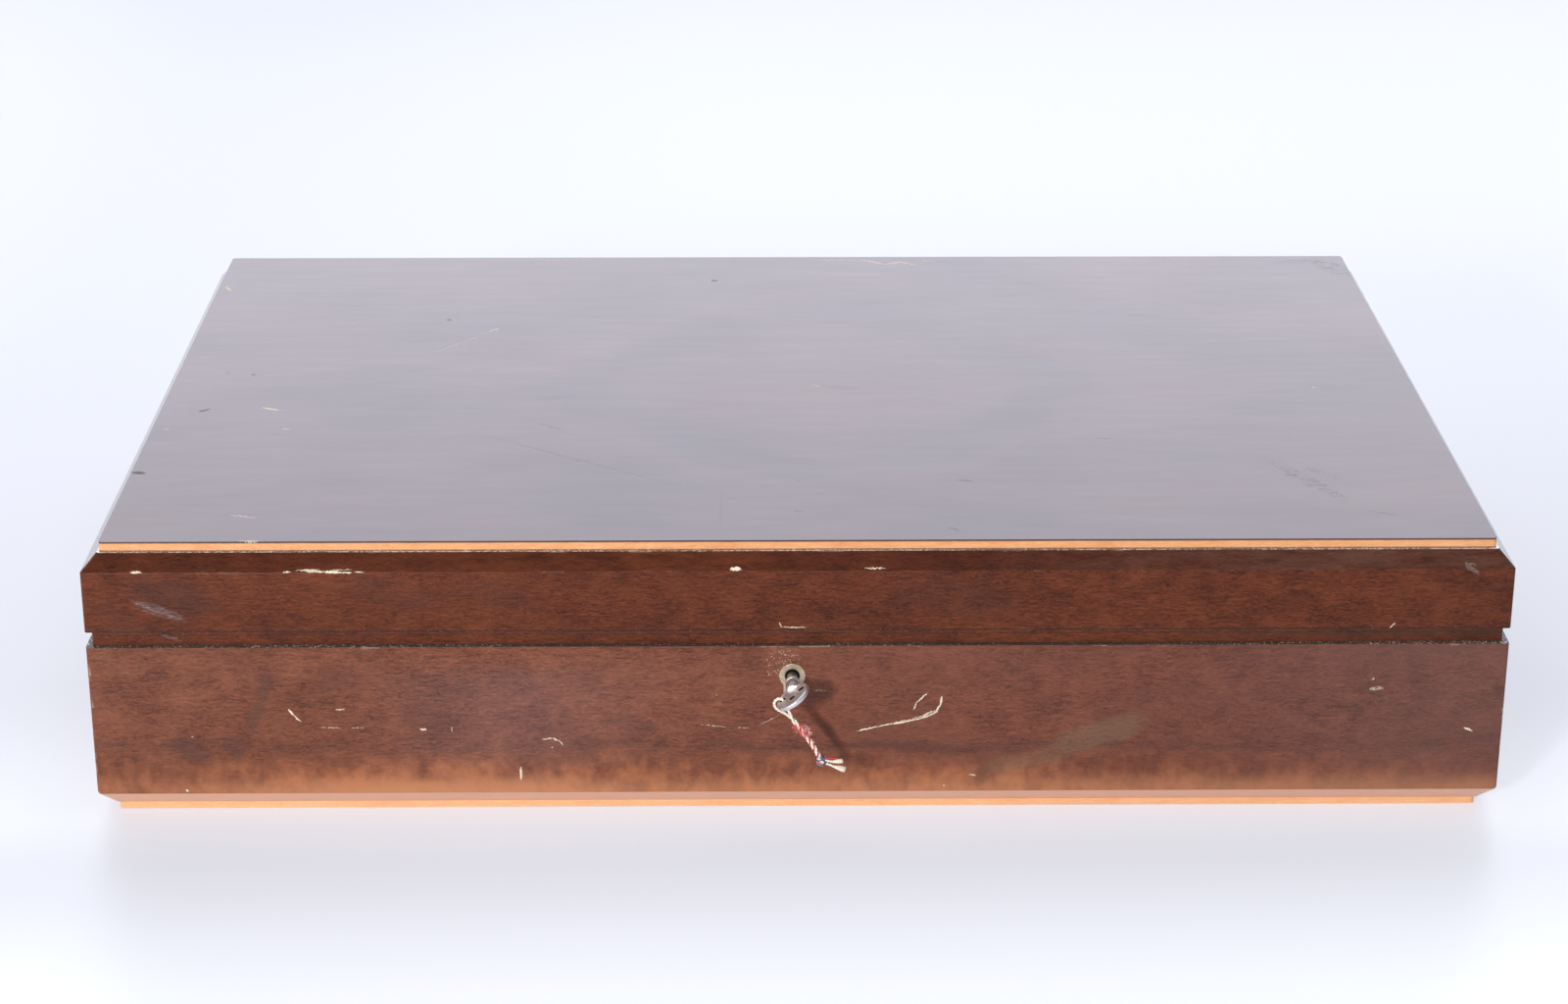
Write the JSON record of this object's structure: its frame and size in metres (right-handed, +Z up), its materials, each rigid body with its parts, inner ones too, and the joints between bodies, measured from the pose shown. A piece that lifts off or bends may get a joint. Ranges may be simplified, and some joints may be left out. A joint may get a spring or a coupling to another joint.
{
  "type": "cutlery chest",
  "caption": "Low wooden cutlery chest with a bevelled hinged lid, a box lock, its key on a knotted string, and a velvet-lined inside with racks.",
  "frame": {"origin": "centre of the underside of the case, where the base board rests", "axes": "+X to the right along the front, +Y from the front to the hinged back, +Z up"},
  "size_m": [0.48, 0.3569, 0.0992],
  "materials": {
    "case_wood": "polished mahogany, worn",
    "pale_wood": "oiled pale board edge",
    "top_veneer": "dark polished veneer",
    "velvet": "dark red velvet",
    "satin": "padded ivory satin",
    "brass": "old brass",
    "lock_steel": "plain steel",
    "key_metal": "worn plated casting",
    "string": "cream and red string"
  },
  "bodies": {
    "chest": {"body_front_wall": "case_wood", "body_back_wall": "case_wood", "body_left_wall": "case_wood", "body_right_wall": "case_wood", "base_board": "pale_wood", "floor_lining": "velvet", "front_lining": "velvet", "back_lining": "velvet", "left_lining": "velvet", "right_lining": "velvet", "divider_left": "velvet", "divider_right": "velvet", "knife_rack_front": "velvet", "knife_rack_back": "velvet", "fork_rack_front": "velvet", "fork_rack_back": "velvet", "spoon_rack_front": "velvet", "spoon_rack_back": "velvet", "hinge_body_leaf_left": "brass", "hinge_body_leaf_right": "brass", "hinge_pins": "brass", "hinge_screws_body": "brass", "lock_plate": "brass", "lock_case": "brass", "lock_spring": "lock_steel", "drill_pin": "lock_steel", "lock_screws": "brass", "escutcheon": "brass"},
    "lid": {"lid_front_wall": "case_wood", "lid_back_wall": "case_wood", "lid_left_wall": "case_wood", "lid_right_wall": "case_wood", "lid_board": "pale_wood", "top_veneer": "top_veneer", "lid_lining": "velvet", "lid_cushion": "satin", "hinge_lid_leaf_left": "brass", "hinge_lid_leaf_right": "brass", "hinge_screws_lid": "brass", "link_plate": "brass", "link_screws": "brass"},
    "lock_bolt": {"lock_bolt": "lock_steel"},
    "key": {"key": "key_metal"},
    "key_cord": {"key_cord": "string", "cord_knot": "string", "cord_tails": "string"}
  },
  "joints": [
    {"name": "lid_hinge", "type": "hinge", "parent": "chest", "child": "lid", "pos_m": [0, 0.1662, 0.0631], "axis": [-1, 0, 0], "range_deg": [0, 100]},
    {"name": "key_turn", "type": "hinge", "parent": "chest", "child": "key", "pos_m": [-0.0023, -0.1635, 0.052], "axis": [0, 1, 0], "range_deg": [-56, 34]},
    {"name": "bolt_slide", "type": "slide", "parent": "chest", "child": "lock_bolt", "axis": [-1, 0, 0], "range_m": [-0.00373, 0.00227]},
    {"name": "cord_swing", "type": "hinge", "parent": "key", "child": "key_cord", "pos_m": [-0.00675, -0.1794, 0.049], "axis": [0, 1, 0], "range_deg": [-34, 56]}
  ],
  "couplings": [
    {"joint": "bolt_slide", "follows": "key_turn", "m_per_rad": 0.0038197},
    {"joint": "cord_swing", "follows": "key_turn", "ratio": -1}
  ]
}
